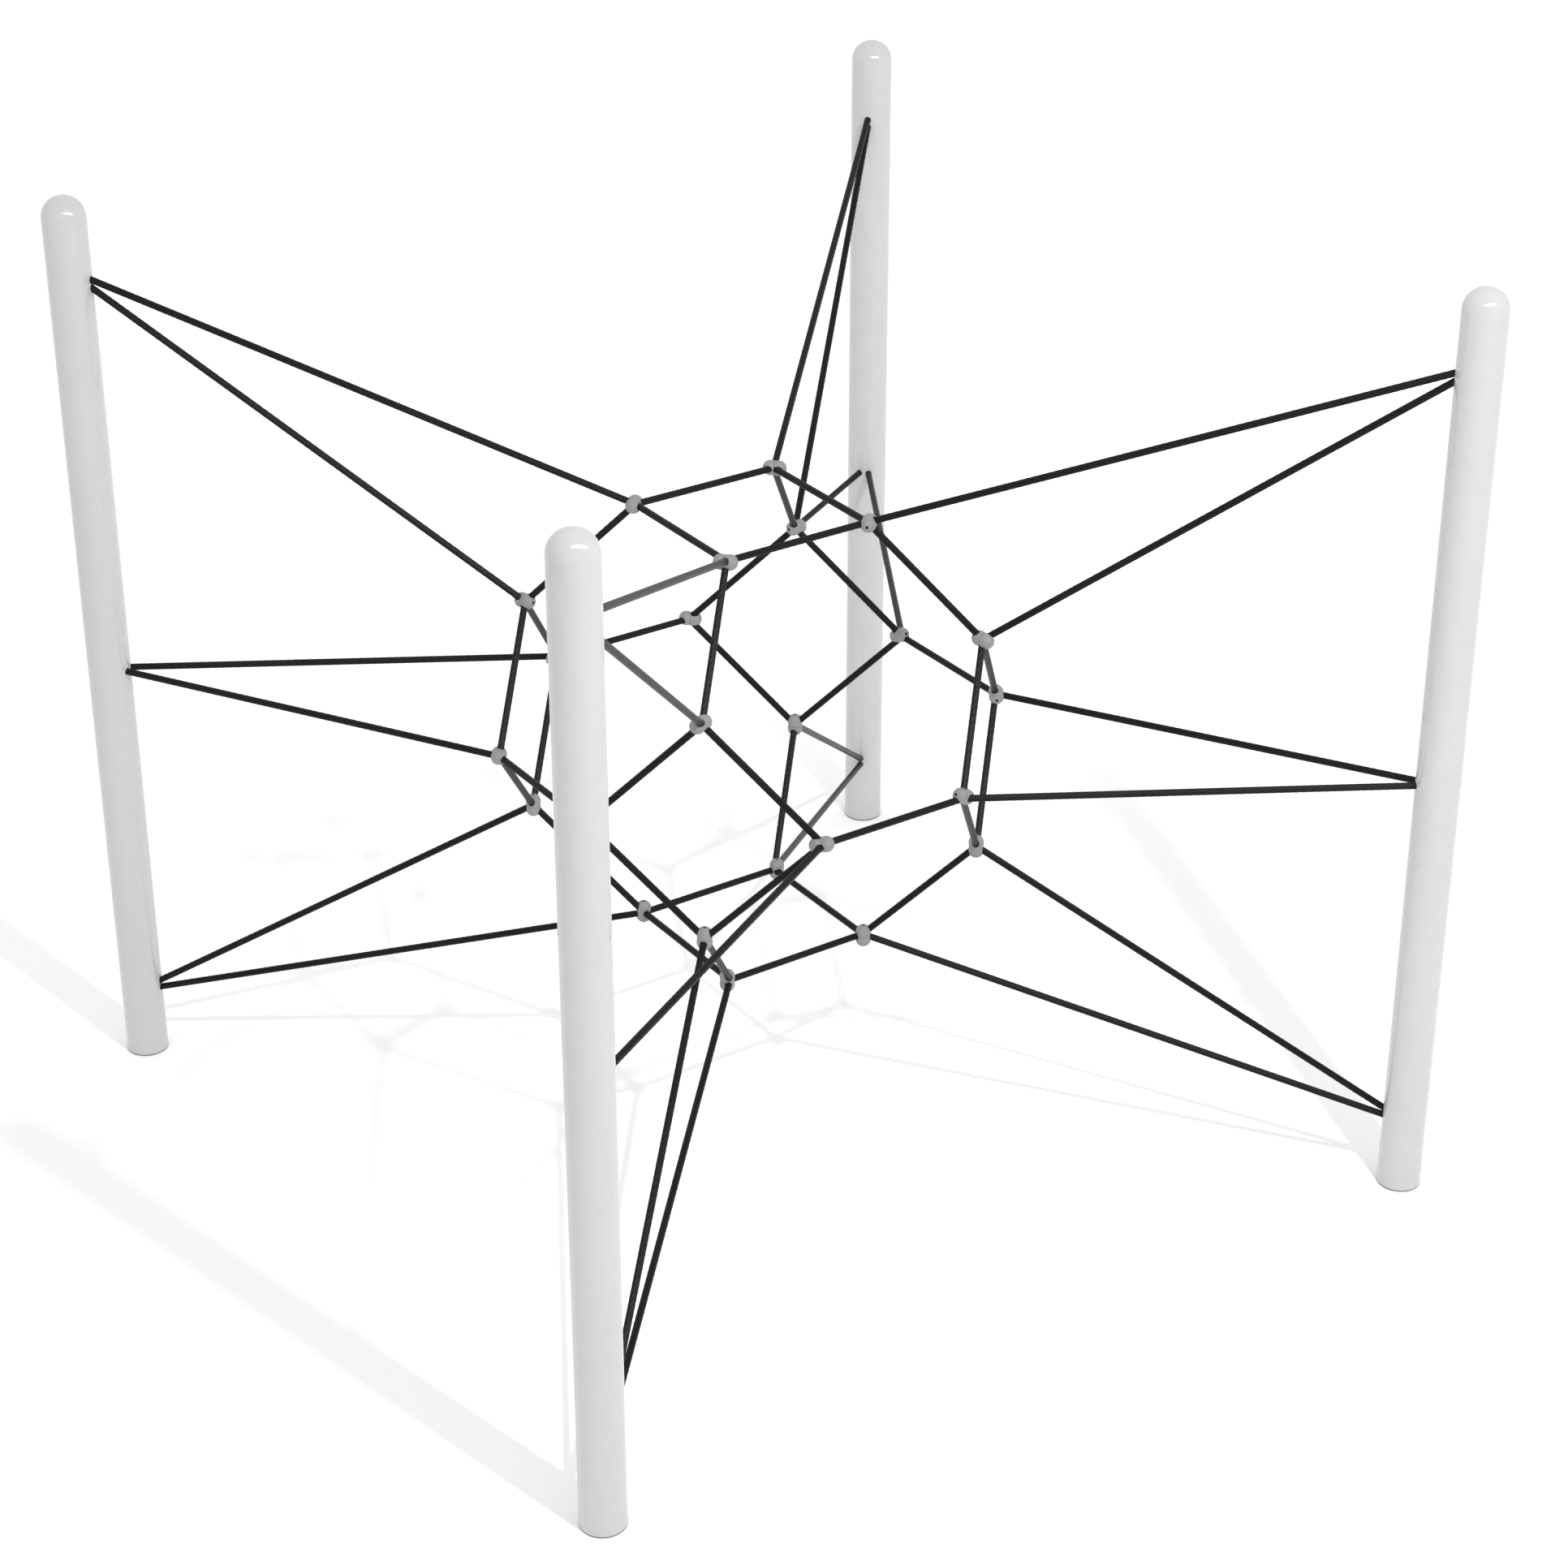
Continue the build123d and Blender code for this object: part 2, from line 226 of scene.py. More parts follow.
paintLook = {
    "tone": (0.535, 0.535, 0.535, 1), "otherTone": (0.512, 0.512, 0.512, 1), "driftScale": 1.7,
    "refraction": 1.62, "roughness": (0.045, 0.065),
    "dust": (0.40, 0.385, 0.36, 1), "dustReach": 0.25, "dustAmount": 0.10, "dustRoughness": 2.4,
    "paintedFootShade": (0.09, 0.085, 0.08, 1), "paintedFootShadeLow": 0.0025, "paintedFootShadeHigh": 0.0050,
    "peelScale": 330.0, "peelStrength": 0.0015, "peelDistance": 0.0002,
}


def makePostPaint(look):
    # gloss powder coat: faint orange peel, slight tone drift, a little dust and a painted contact shadow as
    # a dark line at the foot
    material, tree, shader = startMaterial("postPaint", {"IOR": look["refraction"]})
    place = objectPlace(tree)
    paint = placeDrift(tree, place, look, look["driftScale"])
    dustInputs = {"Vector": place, "Reach": look["dustReach"], "Amount": look["dustAmount"]}
    dust = placeGroup(tree, groundDust, dustInputs)["Mask"]
    peel = placeGroup(tree, fineGrain, {"Vector": place, "Scale": look["peelScale"]})["Height"]
    gloss = addSpan(tree, paint["Mask"], 0.0, 1.0, *look["roughness"])
    height = addNode(tree, "SeparateXYZ", {"Vector": place}).outputs["Z"]
    # painted contact shadow: the paint turns dark within a few millimetres of the ground
    paintedFootShade = addSpan(tree, height, look["paintedFootShadeHigh"], look["paintedFootShadeLow"])
    dusty = addMix(tree, dust, paint["Color"], look["dust"])
    fill(tree, shader, {
        "Base Color": addMix(tree, paintedFootShade, dusty, look["paintedFootShade"]),
        "Roughness": addMath(tree, "MULTIPLY_ADD", dust, look["dustRoughness"], gloss),
        "Normal": addBump(tree, peel, look["peelStrength"], look["peelDistance"]),
    })
    return material


# the ropes are laid from six strands
rope = {
    "strands": 6, "sidesPerStrand": 6, "diameter": 0.0180, "valley": 0.0005,
    "pitch": 0.115, "stepsPerTurn": 16, "sharpAngle": 70,
}

ropeLook = {
    "tone": (0.0062, 0.0062, 0.0064, 1), "otherTone": (0.0100, 0.0100, 0.0100, 1), "toneScale": 9.0,
    "valley": (0.0040, 0.0040, 0.0040, 1), "valleyShadeSpan": (-1.0, 0.2),
    "yarnsAround": 54.0, "yarnStrength": 0.40, "yarnDistance": 0.0003,
    "wanderScale": 160.0, "wanderDetail": 3.0, "wander": 0.03, "wanderHeight": 0.5,
    "roughness": (0.44, 0.32), "alongShine": 0.85, "shineLevel": 0.14,
}


def makeRopeYarn(look):
    # black polyester: fine yarns along each strand, painted shade in the valleys between the strands,
    # and smoother along the yarns than across them
    constants = {"Specular IOR Level": look["shineLevel"], "Anisotropic": look["alongShine"]}
    material, tree, shader = startMaterial("ropeYarn", constants)
    lay = addNode(tree, "UVMap", {}, uv_map="ropeLay")
    parts = addNode(tree, "SeparateXYZ", {"Vector": lay.outputs["UV"]})
    around, along = parts.outputs["X"], parts.outputs["Y"]
    place = objectPlace(tree)
    wander = addNoise(tree, place, look["wanderScale"], look["wanderDetail"])
    # around turns with the strands and along counts the turns of the lay, so their sum runs straight
    straight = addMath(tree, "ADD", around, along)
    drawn = addMath(tree, "MULTIPLY_ADD", wander, look["wander"], straight)
    phase = addMath(tree, "MULTIPLY", drawn, look["yarnsAround"] * math.tau)
    yarn = addSpan(tree, addMath(tree, "SINE", phase), -1.0, 1.0)
    # painted shade: the valleys between the strands take a darker colour
    strandPhase = addMath(tree, "MULTIPLY", around, rope["strands"] * math.tau)
    crown = addSpan(tree, addMath(tree, "COSINE", strandPhase), *look["valleyShadeSpan"])
    fibre = placeDrift(tree, place, look, look["toneScale"])
    height = addMath(tree, "MULTIPLY_ADD", wander, look["wanderHeight"], yarn)
    tangent = addNode(tree, "Tangent", {}, direction_type="UV_MAP", uv_map="ropeLay")
    fill(tree, shader, {
        "Base Color": addMix(tree, crown, look["valley"], fibre["Color"]),
        "Roughness": addSpan(tree, yarn, 0.0, 1.0, *look["roughness"]),
        "Normal": addBump(tree, height, look["yarnStrength"], look["yarnDistance"]),
        "Tangent": tangent.outputs["Tangent"],
    })
    return material


shellLook = {
    "tone": (0.215, 0.215, 0.22, 1), "otherTone": (0.27, 0.27, 0.275, 1), "toneScale": 22.0,
    "speck": (0.40, 0.40, 0.40, 1), "speckSize": 0.30, "speckShare": 0.5,
    "holeShade": (0.02, 0.02, 0.02, 1), "holeShadeSpan": (0.05, 0.35),
    "grainScale": 900.0, "grainStrength": 0.30, "grainDistance": 0.0003, "grainSpan": (0.3, 0.7),
    "roughness": (0.42, 0.58), "shineLevel": 0.3,
}


def makeConnectorShell(look):
    # grey moulded plastic with an eroded grain, and painted shade darkening the screw's hole
    material, tree, shader = startMaterial("connectorShell", {"Specular IOR Level": look["shineLevel"]})
    place = objectPlace(tree)
    body = placeDrift(tree, place, look, look["toneScale"])
    grainInputs = {"Vector": place, "Scale": look["grainScale"], "Speck": look["speckSize"]}
    grain = placeGroup(tree, fineGrain, grainInputs)
    speckShare = addMath(tree, "MULTIPLY", grain["Specks"], look["speckShare"])
    speckled = addMix(tree, speckShare, body["Color"], look["speck"])
    # painted shade: the screw's hole turns dark with its depth
    recess = addNode(tree, "Attribute", {}, attribute_name="recess").outputs["Fac"]
    holeShade = addSpan(tree, recess, *look["holeShadeSpan"])
    fill(tree, shader, {
        "Base Color": addMix(tree, holeShade, speckled, look["holeShade"]),
        "Roughness": addSpan(tree, grain["Height"], *look["grainSpan"], *look["roughness"]),
        "Normal": addBump(tree, grain["Height"], look["grainStrength"], look["grainDistance"]),
    })
    return material


metalLook = {
    "toneScale": 30.0, "flakeScale": 220.0, "grainStrength": 0.25, "grainDistance": 0.0002,
    "smoother": 0.08, "rougher": 0.10,
}
metalLooks = {
    "zincCoat": {
        "tone": (0.55, 0.56, 0.57, 1), "otherTone": (0.46, 0.47, 0.48, 1),
        "roughness": 0.42, "grainScale": 600.0, "flakes": 0.8,
    },
    "bareSteel": {
        "tone": (0.56, 0.56, 0.55, 1), "otherTone": (0.48, 0.48, 0.47, 1),
        "roughness": 0.32, "grainScale": 1200.0, "flakes": 0.0,
    },
    "blackOxide": {
        "tone": (0.012, 0.012, 0.013, 1), "otherTone": (0.022, 0.022, 0.022, 1),
        "roughness": 0.42, "grainScale": 1500.0, "flakes": 0.0,
    },
    "castAlloy": {
        "tone": (0.80, 0.80, 0.81, 1), "otherTone": (0.70, 0.70, 0.71, 1),
        "roughness": 0.30, "grainScale": 1800.0, "flakes": 0.0,
    },
}


def makeMetal(name, look):
    # bare or plated metal with a fine grain, and crystal flakes where it is dipped in zinc
    material, tree, shader = startMaterial(name, {"Metallic": 1.0})
    place = objectPlace(tree)
    drift = placeDrift(tree, place, look, metalLook["toneScale"])
    grain = placeGroup(tree, fineGrain, {"Vector": place, "Scale": look["grainScale"]})["Height"]
    cells = addNode(tree, "TexVoronoi", {"Vector": place, "Scale": metalLook["flakeScale"]}, feature="F1")
    flakeTone = addNode(tree, "SeparateXYZ", {"Vector": cells.outputs["Color"]}).outputs["X"]
    shine = addMath(tree, "MULTIPLY_ADD", flakeTone, look["flakes"], drift["Mask"])
    low, high = look["roughness"] - metalLook["smoother"], look["roughness"] + metalLook["rougher"]
    fill(tree, shader, {
        "Base Color": drift["Color"],
        "Roughness": addSpan(tree, shine, 0.0, 1.0 + look["flakes"], low, high),
        "Normal": addBump(tree, grain, metalLook["grainStrength"], metalLook["grainDistance"]),
    })
    return material


paperLook = {
    "tone": (0.97, 0.97, 0.97, 1), "otherTone": (0.96, 0.96, 0.96, 1), "toneScale": 1.0,
    "roughness": (0.85, 0.95), "shineLevel": 0.1,
    "glow": (1, 1, 1, 1), "glowDepths": (1.7, 3.0), "glowRange": (0.045, 0.16),
}


def makeFloorPaper(look):
    # white paper with a faint glow of its own, stronger towards the back
    constants = {"Specular IOR Level": look["shineLevel"], "Emission Color": look["glow"]}
    material, tree, shader = startMaterial("floorPaper", constants)
    place = objectPlace(tree)
    paper = placeDrift(tree, place, look, look["toneScale"])
    depth = addNode(tree, "SeparateXYZ", {"Vector": place}).outputs["Y"]
    fill(tree, shader, {
        "Base Color": paper["Color"],
        "Roughness": addSpan(tree, paper["Mask"], 0.0, 1.0, *look["roughness"]),
        "Emission Strength": addSpan(tree, depth, *look["glowDepths"], *look["glowRange"]),
    })
    return material


postPaint = makePostPaint(paintLook)
ropeYarn = makeRopeYarn(ropeLook)
connectorShell = makeConnectorShell(shellLook)
metals = {name: makeMetal(name, look) for name, look in metalLooks.items()}
print("materials made")


# reading places from the CAD nodes

# how close vertices are merged, and how far from its tip a piece's end reaches
reading = {"weld": 0.000001, "ropeEnd": 0.02, "ferruleEnd": 0.001, "screwEnd": 0.0005}


def looseParts(bm):
    # groups of joined vertices, in the order in which they are met
    found = []
    seen = set()
    for first in bm.verts:
        if first in seen:
            continue
        seen.add(first)
        group = [first]
        for vert in group:
            for edge in vert.link_edges:
                other = edge.other_vert(vert)
                if other not in seen:
                    seen.add(other)
                    group.append(other)
        found.append(np.array([vert.co for vert in group]))
    return found


def endsOf(points, reach):
    # middles of the two ends of a long round piece, and how wide each end is
    middle = points.mean(axis=0)
    axis = np.linalg.svd(points - middle)[2][0]
    along = (points - middle) @ axis
    ends = []
    for side in (-1, 1):
        there = points[along * side > (along * side).max() - reach]
        ends.append((Vector(there.mean(axis=0)), float(np.abs(there - there.mean(axis=0)).max())))
    return ends


def rodsOf(node, reach=reading["ropeEnd"]):
    bm = bmesh.new()
    bm.from_mesh(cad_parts[node].data)
    bmesh.ops.remove_doubles(bm, verts=bm.verts, dist=reading["weld"])
    rods = [endsOf(points, reach) for points in looseParts(bm)]
    bm.free()
    return rods


# making pieces

spunWeld = 0.0000005


def finishPiece(name, bm, material, sharp=None):
    mesh = bpy.data.meshes.new(name)
    bm.to_mesh(mesh)
    bm.free()
    mesh.shade_smooth()
    if sharp:
        mesh.set_sharp_from_angle(angle=math.radians(sharp))
    mesh.materials.append(material)
    piece = bpy.data.objects.new(name, mesh)
    bpy.context.scene.collection.objects.link(piece)
    return piece


def addTurned(bm, mesh, matrix):
    # put a copy of a mesh into the bmesh at a place
    before = len(bm.verts)
    bm.from_mesh(mesh)
    bm.verts.ensure_lookup_table()
    bmesh.ops.transform(bm, matrix=matrix, verts=bm.verts[before:])


def alongRun(start, end):
    turn = (end - start).to_track_quat("Z", "Y").to_matrix().to_4x4()
    return Matrix.Translation(start) @ turn


def spinRound(bm, segments):
    bmesh.ops.spin(
        bm, geom=bm.verts[:] + bm.edges[:], cent=(0, 0, 0), axis=(0, 0, 1),
        angle=math.tau, steps=segments, use_merge=True,
    )
    bmesh.ops.remove_doubles(bm, verts=bm.verts, dist=spunWeld)
    bmesh.ops.recalc_face_normals(bm, faces=bm.faces)


def addLine(bm, points):
    verts = [bm.verts.new(point) for point in points]
    for first, second in zip(verts, verts[1:]):
        bm.edges.new((first, second))
    return verts


def spinArc(bm, vert, cent, degrees, steps):
    # a vertex carried round in the XZ plane, and the last vertex it leaves
    made = bmesh.ops.spin(
        bm, geom=[vert], cent=cent, axis=(0, 1, 0), angle=math.radians(degrees), steps=steps,
    )
    return [item for item in made["geom_last"] if isinstance(item, bmesh.types.BMVert)][0]


def cutAway(bm, cutters, extra=()):
    # subtract closed shapes, then apply any further modifiers
    mesh = bpy.data.meshes.new("cutting")
    bm.to_mesh(mesh)
    bm.free()
    block = bpy.data.objects.new("cutting", mesh)
    bpy.context.scene.collection.objects.link(block)
    tools = []
    for cutter in cutters:
        cutterMesh = bpy.data.meshes.new("cutter")
        cutter.to_mesh(cutterMesh)
        cutter.free()
        tool = bpy.data.objects.new("cutter", cutterMesh)
        bpy.context.scene.collection.objects.link(tool)
        tools.append(tool)
        cut = block.modifiers.new("cut", "BOOLEAN")
        cut.operation = "DIFFERENCE"
        cut.solver = "EXACT"
        cut.object = tool
    for kind, settings in extra:
        modifier = block.modifiers.new(kind.lower(), kind)
        for key, value in settings.items():
            setattr(modifier, key, value)
    seen = block.evaluated_get(bpy.context.evaluated_depsgraph_get())
    result = bpy.data.meshes.new_from_object(seen)
    for done in [block] + tools:
        bpy.data.objects.remove(done)
    return result


# ropes

def makeStrandedMesh(length):
    # six strands screwed along Z, with a map of turns around and turns along
    sides = rope["strands"] * rope["sidesPerStrand"]
    radius = rope["diameter"] / 2
    bm = bmesh.new()
    bmesh.ops.create_circle(bm, cap_ends=True, segments=sides, radius=radius)
    for vert in bm.verts:
        turn = math.atan2(vert.co.y, vert.co.x)
        crown = abs(math.cos(turn * rope["strands"] / 2))
        share = 1 - rope["valley"] / radius * (1 - crown)
        bmesh.ops.scale(bm, vec=(share, share, share), verts=[vert])
    steps = max(2, round(length / rope["pitch"] * rope["stepsPerTurn"]))
    twist = length / rope["pitch"] * math.tau
    bmesh.ops.spin(
        bm, geom=bm.verts[:] + bm.edges[:] + bm.faces[:], cent=(0, 0, 0), axis=(0, 0, 1),
        dvec=(0, 0, length / steps), angle=twist, steps=steps,
    )
    bmesh.ops.recalc_face_normals(bm, faces=bm.faces)
    layer = bm.loops.layers.uv.new("ropeLay")
    for face in bm.faces:
        around = []
        for loop in face.loops:
            along = loop.vert.co.z / rope["pitch"]
            turn = math.atan2(loop.vert.co.y, loop.vert.co.x) / math.tau
            around.append((turn - along) % 1)
        for loop, share in zip(face.loops, around):
            # a face that crosses the map's seam runs on past 1
            if max(around) - share > 0.5:
                share += 1
            loop[layer].uv = (share, loop.vert.co.z / rope["pitch"])
    mesh = bpy.data.meshes.new("strands")
    bm.to_mesh(mesh)
    bm.free()
    return mesh


strandedMeshes = {}


def strandedMesh(length):
    # ropes of the same length, to a tenth of a millimetre, share a mesh
    key = round(length, 4)
    if key not in strandedMeshes:
        strandedMeshes[key] = makeStrandedMesh(length)
    return strandedMeshes[key]


def makeNetRopes(kind):
    bm = bmesh.new()
    node = kind + "_ropes"
    for (start, _), (end, _) in rodsOf(node):
        addTurned(bm, strandedMesh((end - start).length), alongRun(start, end))
    piece = finishPiece(kind + "_net_ropes", bm, ropeYarn, rope["sharpAngle"])
    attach(piece, "net")
    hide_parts(node)


for kind in netRopeKinds:
    makeNetRopes(kind)
print("net ropes laid")


tether = {"spare": 0.02, "holeClearance": 0.0004, "cutterSides": 48}


def outward(rod):
    # a tether's two ends, the one at the net first
    ends = sorted((end for end, _ in rod), key=lambda point: point.xy.length)
    return ends[0], ends[1]


def makeTethers(side, level):
    node = f"{side}_{level}_tethers"
    direction = Vector(postSides[side])
    bm = bmesh.new()
    runs = [outward(rod) for rod in rodsOf(node)]
    # a tether stops just inside the tube's wall, on the plane that its CAD rod reaches
    stop = max(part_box(node)[1].dot(direction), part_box(node)[0].dot(direction))
    for start, end in runs:
        longer = end + (end - start).normalized() * tether["spare"]
        whole = bmesh.new()
        addTurned(whole, strandedMesh((longer - start).length), alongRun(start, longer))
        cut = bmesh.ops.bisect_plane(
            whole, geom=whole.verts[:] + whole.edges[:] + whole.faces[:],
            plane_co=direction * stop, plane_no=direction, clear_outer=True,
        )
        rim = [item for item in cut["geom_cut"] if isinstance(item, bmesh.types.BMEdge)]
        bmesh.ops.holes_fill(whole, edges=rim)
        bmesh.ops.recalc_face_normals(whole, faces=whole.faces)
        mesh = bpy.data.meshes.new("cutRope")
        whole.to_mesh(mesh)
        whole.free()
        bm.from_mesh(mesh)
    piece = finishPiece(f"{side}_{level}_tether_ropes", bm, ropeYarn, rope["sharpAngle"])
    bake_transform(piece)
    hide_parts(node)
    return runs


tetherRuns = {(side, level): makeTethers(side, level) for side in postSides for level in tetherLevels}
print("tethers laid")


# posts

post = {
    "wall": 0.0036, "footChamfer": 0.0012, "segments": 128, "domeSteps": 32, "sharpAngle": 32,
    "rowSpacing": 0.16, "holeRowSpacing": 0.008, "holeReach": 0.05, "rowNudge": 0.0001, "cutLength": 0.06,
    "sleeveLength": 0.040, "sleeveWall": 0.0031, "slip": 0.0001,
}


def postRows(top, holeHeights):
    # heights of the tube's rings: close together at the rope holes, wide apart elsewhere,
    # with a ring just inside the start of each close stretch
    starts = [height - post["holeReach"] for height in holeHeights]
    rows = [post["footChamfer"]]
    while rows[-1] < top:
        nearHole = any(abs(rows[-1] - height) < post["holeReach"] for height in holeHeights)
        step = post["holeRowSpacing"] if nearHole else post["rowSpacing"]
        ahead = [start + post["rowNudge"] for start in starts if rows[-1] < start]
        rows.append(min([rows[-1] + step, top] + ahead))
    return rows


def makePostTube(side):
    node = side + "_post_tube"
    low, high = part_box(node)
    middle = (low + high) / 2
    radius = (high.x - low.x) / 2
    bore = radius - post["wall"]
    runs = [run for level in tetherLevels for run in tetherRuns[side, level]]
    rows = postRows(high.z, [end.z for _, end in runs])
    bm = bmesh.new()
    outside = [(radius - post["footChamfer"], 0, 0)] + [(radius, 0, height) for height in rows]
    inside = [(bore, 0, height) for height in reversed(rows)] + [(bore, 0, 0)]
    addLine(bm, outside + inside + outside[:1])
    spinRound(bm, post["segments"])
    bmesh.ops.translate(bm, vec=(middle.x, middle.y, 0), verts=bm.verts)
    # the two ropes of a level need a cutter each, because their holes nearly touch
    holeRadius = rope["diameter"] / 2 + tether["holeClearance"]
    cutters = []
    for which in (0, 1):
        cutter = bmesh.new()
        for level in tetherLevels:
            start, end = tetherRuns[side, level][which]
            turn = alongRun(end, end + (start - end).normalized())
            bmesh.ops.create_cone(
                cutter, cap_ends=True, segments=tether["cutterSides"], depth=post["cutLength"],
                radius1=holeRadius, radius2=holeRadius, matrix=turn,
            )
        cutters.append(cutter)
    cutTube = cutAway(bm, cutters)
    bm = bmesh.new()
    bm.from_mesh(cutTube)
    piece = finishPiece(side + "_tube_painted", bm, postPaint, post["sharpAngle"])
    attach(piece, "posts")
    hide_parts(node)


def makePostDome(side):
    node = side + "_post_dome"
    low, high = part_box(node)
    middle = (low + high) / 2
    radius = (high.x - low.x) / 2
    seat = high.z - radius
    bore = radius - post["wall"]
    sleeveOut = bore - post["slip"]
    sleeveIn = sleeveOut - post["sleeveWall"]
    rise = math.sqrt(bore**2 - sleeveIn**2)
    bm = bmesh.new()
    foot = -post["sleeveLength"]
    profile = addLine(bm, [
        (radius, 0, 0), (sleeveOut, 0, 0), (sleeveOut, 0, foot), (sleeveIn, 0, foot), (sleeveIn, 0, rise),
    ])
    inner = math.degrees(math.atan2(sleeveIn, rise))
    spinArc(bm, profile[-1], (0, 0, 0), -inner, post["domeSteps"])
    spinArc(bm, profile[0], (0, 0, 0), -90, post["domeSteps"])
    spinRound(bm, post["segments"])
    bmesh.ops.translate(bm, vec=(middle.x, middle.y, seat), verts=bm.verts)
    piece = finishPiece(side + "_dome_painted", bm, postPaint, post["sharpAngle"])
    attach(piece, "posts")
    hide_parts(node)


for side in postSides:
    makePostTube(side)
    makePostDome(side)
print("posts made")


# connectors

shell = {
    "radius": 0.02005, "halfSpine": 0.0115, "waistDepth": 0.001, "seamGap": 0.0003, "segments": 72,
    "endSteps": 28, "waistSteps": 6, "portClearance": 0.0003, "portReach": 0.06, "near": 0.032,
    "headDepth": 0.009, "headHeight": 0.004, "headHole": 0.00375, "headReach": 0.05,
    "shankHole": 0.00225, "threadDepth": 0.009, "ferruleRadius": 0.0045, "ferruleDepth": 0.006,
    "cutterSides": 40, "voxel": 0.00075, "smoothing": 3, "smoothShare": 0.5, "keptFaces": 0.4,
}


def makeHalfBody():
    # the half with the screw's head: a rounded end and half of the drawn-in waist
    waistRadius = shell["radius"] - shell["waistDepth"]
    waistArc = (waistRadius**2 + shell["halfSpine"]**2 - shell["radius"]**2) / (2 * shell["waistDepth"])
    arcMiddle = waistRadius + waistArc
    lean = math.degrees(math.atan2(shell["halfSpine"], arcMiddle))
    bm = bmesh.new()
    tip = bm.verts.new((0, 0, shell["halfSpine"] + shell["radius"]))
    shoulder = spinArc(bm, tip, (0, 0, shell["halfSpine"]), 90 + lean, shell["endSteps"])
    spinArc(bm, shoulder, (arcMiddle, 0, 0), -lean, shell["waistSteps"])
    spinRound(bm, shell["segments"])
    cut = bmesh.ops.bisect_plane(
        bm, geom=bm.verts[:] + bm.edges[:] + bm.faces[:], plane_co=(0, 0, shell["seamGap"] / 2),
        plane_no=(0, 0, 1), clear_inner=True,
    )
    rim = [item for item in cut["geom_cut"] if isinstance(item, bmesh.types.BMEdge)]
    bmesh.ops.holes_fill(bm, edges=rim)
    bmesh.ops.recalc_face_normals(bm, faces=bm.faces)
    return bm


def steppedShape(matrix, narrow, wide, low, step, high):
    # a closed shape of revolution: narrow from low to step, wide from step to high
    bm = bmesh.new()
    addLine(bm, [
        (0, 0, low), (narrow, 0, low), (narrow, 0, step), (wide, 0, step), (wide, 0, high), (0, 0, high),
    ])
    spinRound(bm, shell["cutterSides"])
    bmesh.ops.transform(bm, matrix=matrix, verts=bm.verts)
    return bm


ropeRods = [rod for kind in netRopeKinds for rod in rodsOf(kind + "_ropes")]
ropeRods += [[(end, 0) for end in run] for runs in tetherRuns.values() for run in runs]
ferruleRods = [
    rod for node in ("net_rope_ferrules", "tether_ferrules") for rod in rodsOf(node, reading["ferruleEnd"])
]
ferruleEnds = [end for ferrule in ferruleRods for end, _ in ferrule]


def innerEnd(here, run):
    # the end of this rope's ferrule that lies deeper in the connector: on the rope's line, inward
    def miss(end):
        return abs((end - here).cross(run).length) + abs((end - here).dot(run) + shell["ferruleDepth"])
    return min(ferruleEnds, key=miss)


def portsAt(middle):
    # start of each rope in this connector, its direction, and how far in its ferrule reaches
    found = []
    for (first, _), (second, _) in ropeRods:
        for here, there in ((first, second), (second, first)):
            if (here - middle).length < shell["near"]:
                run = (there - here).normalized()
                found.append((here, run, (here - innerEnd(here, run)).dot(run)))
    return found


def portCutters(middle, axis):
    clear = shell["portClearance"]
    narrow, wide = shell["ferruleRadius"] + clear, rope["diameter"] / 2 + clear
    cutters = [
        steppedShape(alongRun(here, here + run), narrow, wide, -inset - clear, -clear, shell["portReach"])
        for here, run, inset in portsAt(middle)
    ]
    seat = shell["halfSpine"] + shell["radius"] - shell["headDepth"] - shell["headHeight"]
    shank, head = shell["shankHole"], shell["headHole"]
    turn = alongRun(middle, middle + axis)
    cutters.append(steppedShape(turn, shank, head, -shell["threadDepth"], seat, shell["headReach"]))
    return cutters


def markRecess(mesh, toLocal):
    # how deep each vertex lies in the screw's hole, from 0 outside it to 1 at its foot; the shell's
    # material paints shade into the hole by it
    mark = mesh.attributes.new("recess", "FLOAT", "POINT")
    tip = shell["halfSpine"] + shell["radius"]
    for vert, value in zip(mesh.vertices, mark.data):
        place = toLocal @ vert.co
        inHole = place.xy.length < shell["headHole"] + shell["voxel"] / 2 and place.z > 0
        depth = (tip - place.z) / shell["headDepth"]
        value.value = min(1, max(0, depth)) if inHole else 0


def makeConnectorHalf(middle, axis, flip):
    bm = makeHalfBody()
    if flip:
        bmesh.ops.scale(bm, vec=(1, 1, -1), verts=bm.verts)
        bmesh.ops.reverse_faces(bm, faces=bm.faces)
    bmesh.ops.transform(bm, matrix=alongRun(middle, middle + axis), verts=bm.verts)
    finish = [
        ("REMESH", {"mode": "VOXEL", "voxel_size": shell["voxel"]}),
        ("SMOOTH", {"factor": shell["smoothShare"], "iterations": shell["smoothing"]}),
        ("DECIMATE", {"ratio": shell["keptFaces"]}),
    ]
    half = cutAway(bm, portCutters(middle, axis), finish)
    markRecess(half, alongRun(middle, middle + axis).inverted())
    return half


def makeConnectors(ring):
    # the connectors of one quarter, the right post's, and three turned copies of each
    places = []
    for ends in rodsOf(ring + "_connector_screws", reading["screwEnd"]):
        # the head's end is the wider one
        (tip, _), (head, _) = sorted(ends, key=lambda end: end[1])
        axis = (head - tip).normalized()
        middle = head - axis * (shell["halfSpine"] + shell["radius"] - shell["headDepth"])
        if middle.x > abs(middle.y):
            places.append((middle, axis))
    for label, flip in (("screw_halves", False), ("thread_halves", True)):
        bm = bmesh.new()
        for middle, axis in places:
            half = makeConnectorHalf(middle, axis, flip)
            for quarter in range(4):
                addTurned(bm, half, Matrix.Rotation(quarter * math.pi / 2, 4, "Z"))
        piece = finishPiece(f"{ring}_{label}_moulded", bm, connectorShell)
        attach(piece, "net")
        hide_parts(f"{ring}_connector_{label}")


for ring in connectorRings:
    makeConnectors(ring)
print("connectors made")


# the CAD nodes that stay: screws, ferrules, studs, anchor blocks and foot plates

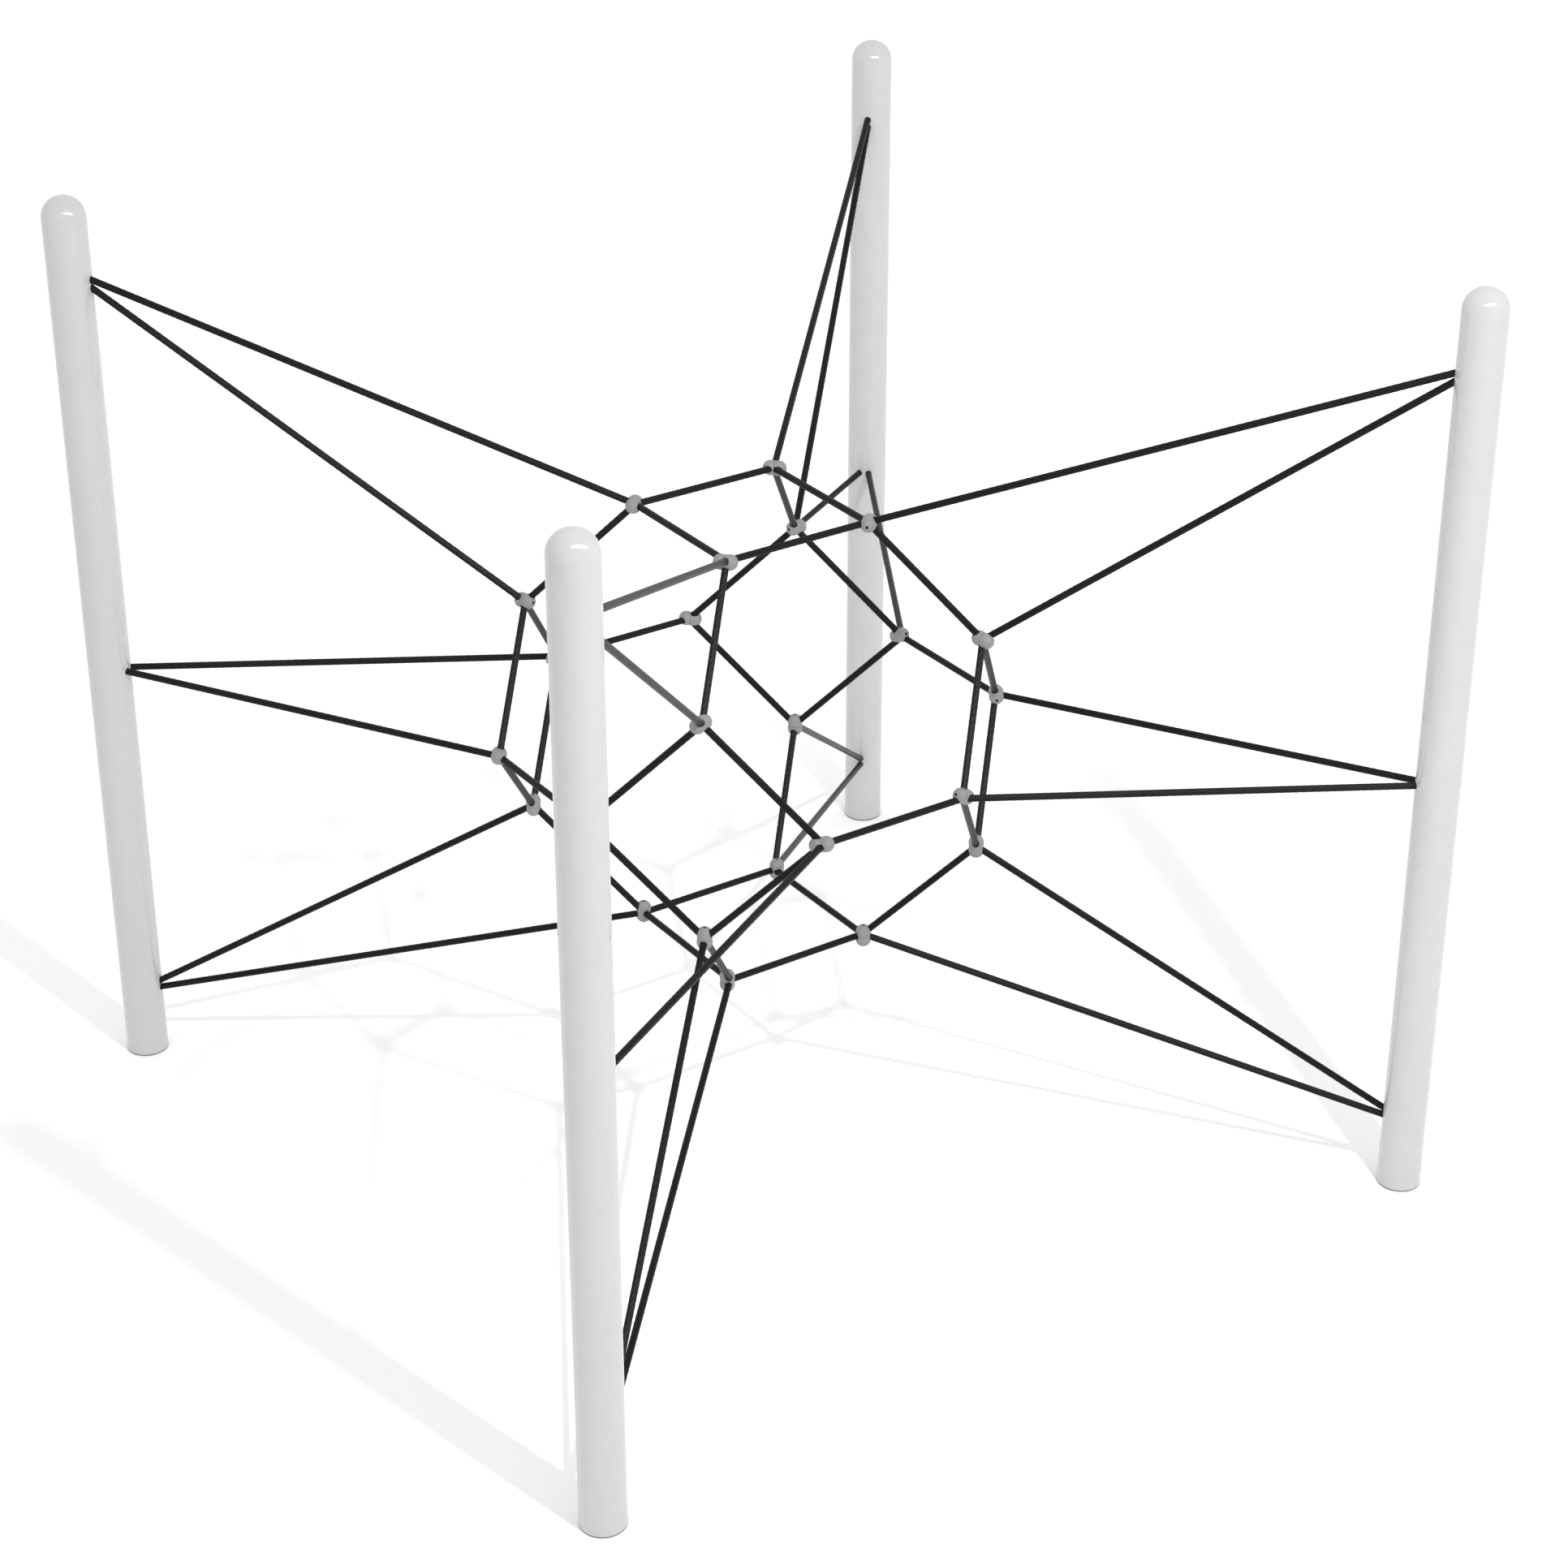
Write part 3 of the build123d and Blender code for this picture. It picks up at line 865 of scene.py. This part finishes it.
keptLooks = {
    "connector_screws": "blackOxide", "ferrules": "castAlloy", "tether_studs": "bareSteel",
    "anchor_blocks": "zincCoat", "foot_plate": "zincCoat",
}
for name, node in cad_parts.items():
    for ending, metal in keptLooks.items():
        if name.endswith(ending):
            for materialSlot in node.material_slots:
                materialSlot.material = metals[metal]
print("hardware finished")


# studio

studio = {
    "world": 0.95, "worldColor": (1, 1, 1, 1), "floorSize": 40.0, "aim": (0.0, 0.0, 1.0),
    "keyPlace": (3.75, -4.2, 7.2), "keySize": 0.25, "keyPower": 290.0,
    "cardLeft": (0.3, -4.85, 6.5), "cardRight": (4.9, -1.55, 5.1), "cardWidth": 1.15, "cardPower": 330.0,
}


def addLight(name, left, right, width, power, aim):
    # an oval light between two points, facing the aim
    left, right = Vector(left), Vector(right)
    data = bpy.data.lights.new(name, "AREA")
    data.shape = "ELLIPSE"
    data.size, data.size_y = (right - left).length, width
    data.energy = power
    light = bpy.data.objects.new(name, data)
    bpy.context.scene.collection.objects.link(light)
    across = (right - left).normalized()
    middle = (left + right) / 2
    rise = (middle - Vector(aim)).cross(across).normalized()
    turn = Matrix((across, rise, across.cross(rise))).transposed().to_4x4()
    light.matrix_world = Matrix.Translation(middle) @ turn
    return light


def makeStudio(look):
    # an even white surround, a small key light for the shadows, and an oval card for the shine
    world = bpy.data.worlds.new("studio")
    bpy.context.scene.world = world
    world.use_nodes = True
    tree = world.node_tree
    fill(tree, tree.nodes["Background"], {"Color": look["worldColor"], "Strength": look["world"]})
    half = Vector((look["keySize"] / 2, 0, 0))
    place = Vector(look["keyPlace"])
    key = addLight("keyLight", place - half, place + half, look["keySize"], look["keyPower"], look["aim"])
    key.visible_glossy = False
    card = addLight(
        "shineCard", look["cardLeft"], look["cardRight"], look["cardWidth"], look["cardPower"], look["aim"],
    )
    card.visible_diffuse = False
    bm = bmesh.new()
    bmesh.ops.create_grid(bm, x_segments=1, y_segments=1, size=look["floorSize"])
    floor = finishPiece("floor", bm, makeFloorPaper(paperLook))
    view = bpy.context.scene.view_settings
    view.view_transform = "Standard"
    view.look = "None"


makeStudio(studio)
print("studio lit")
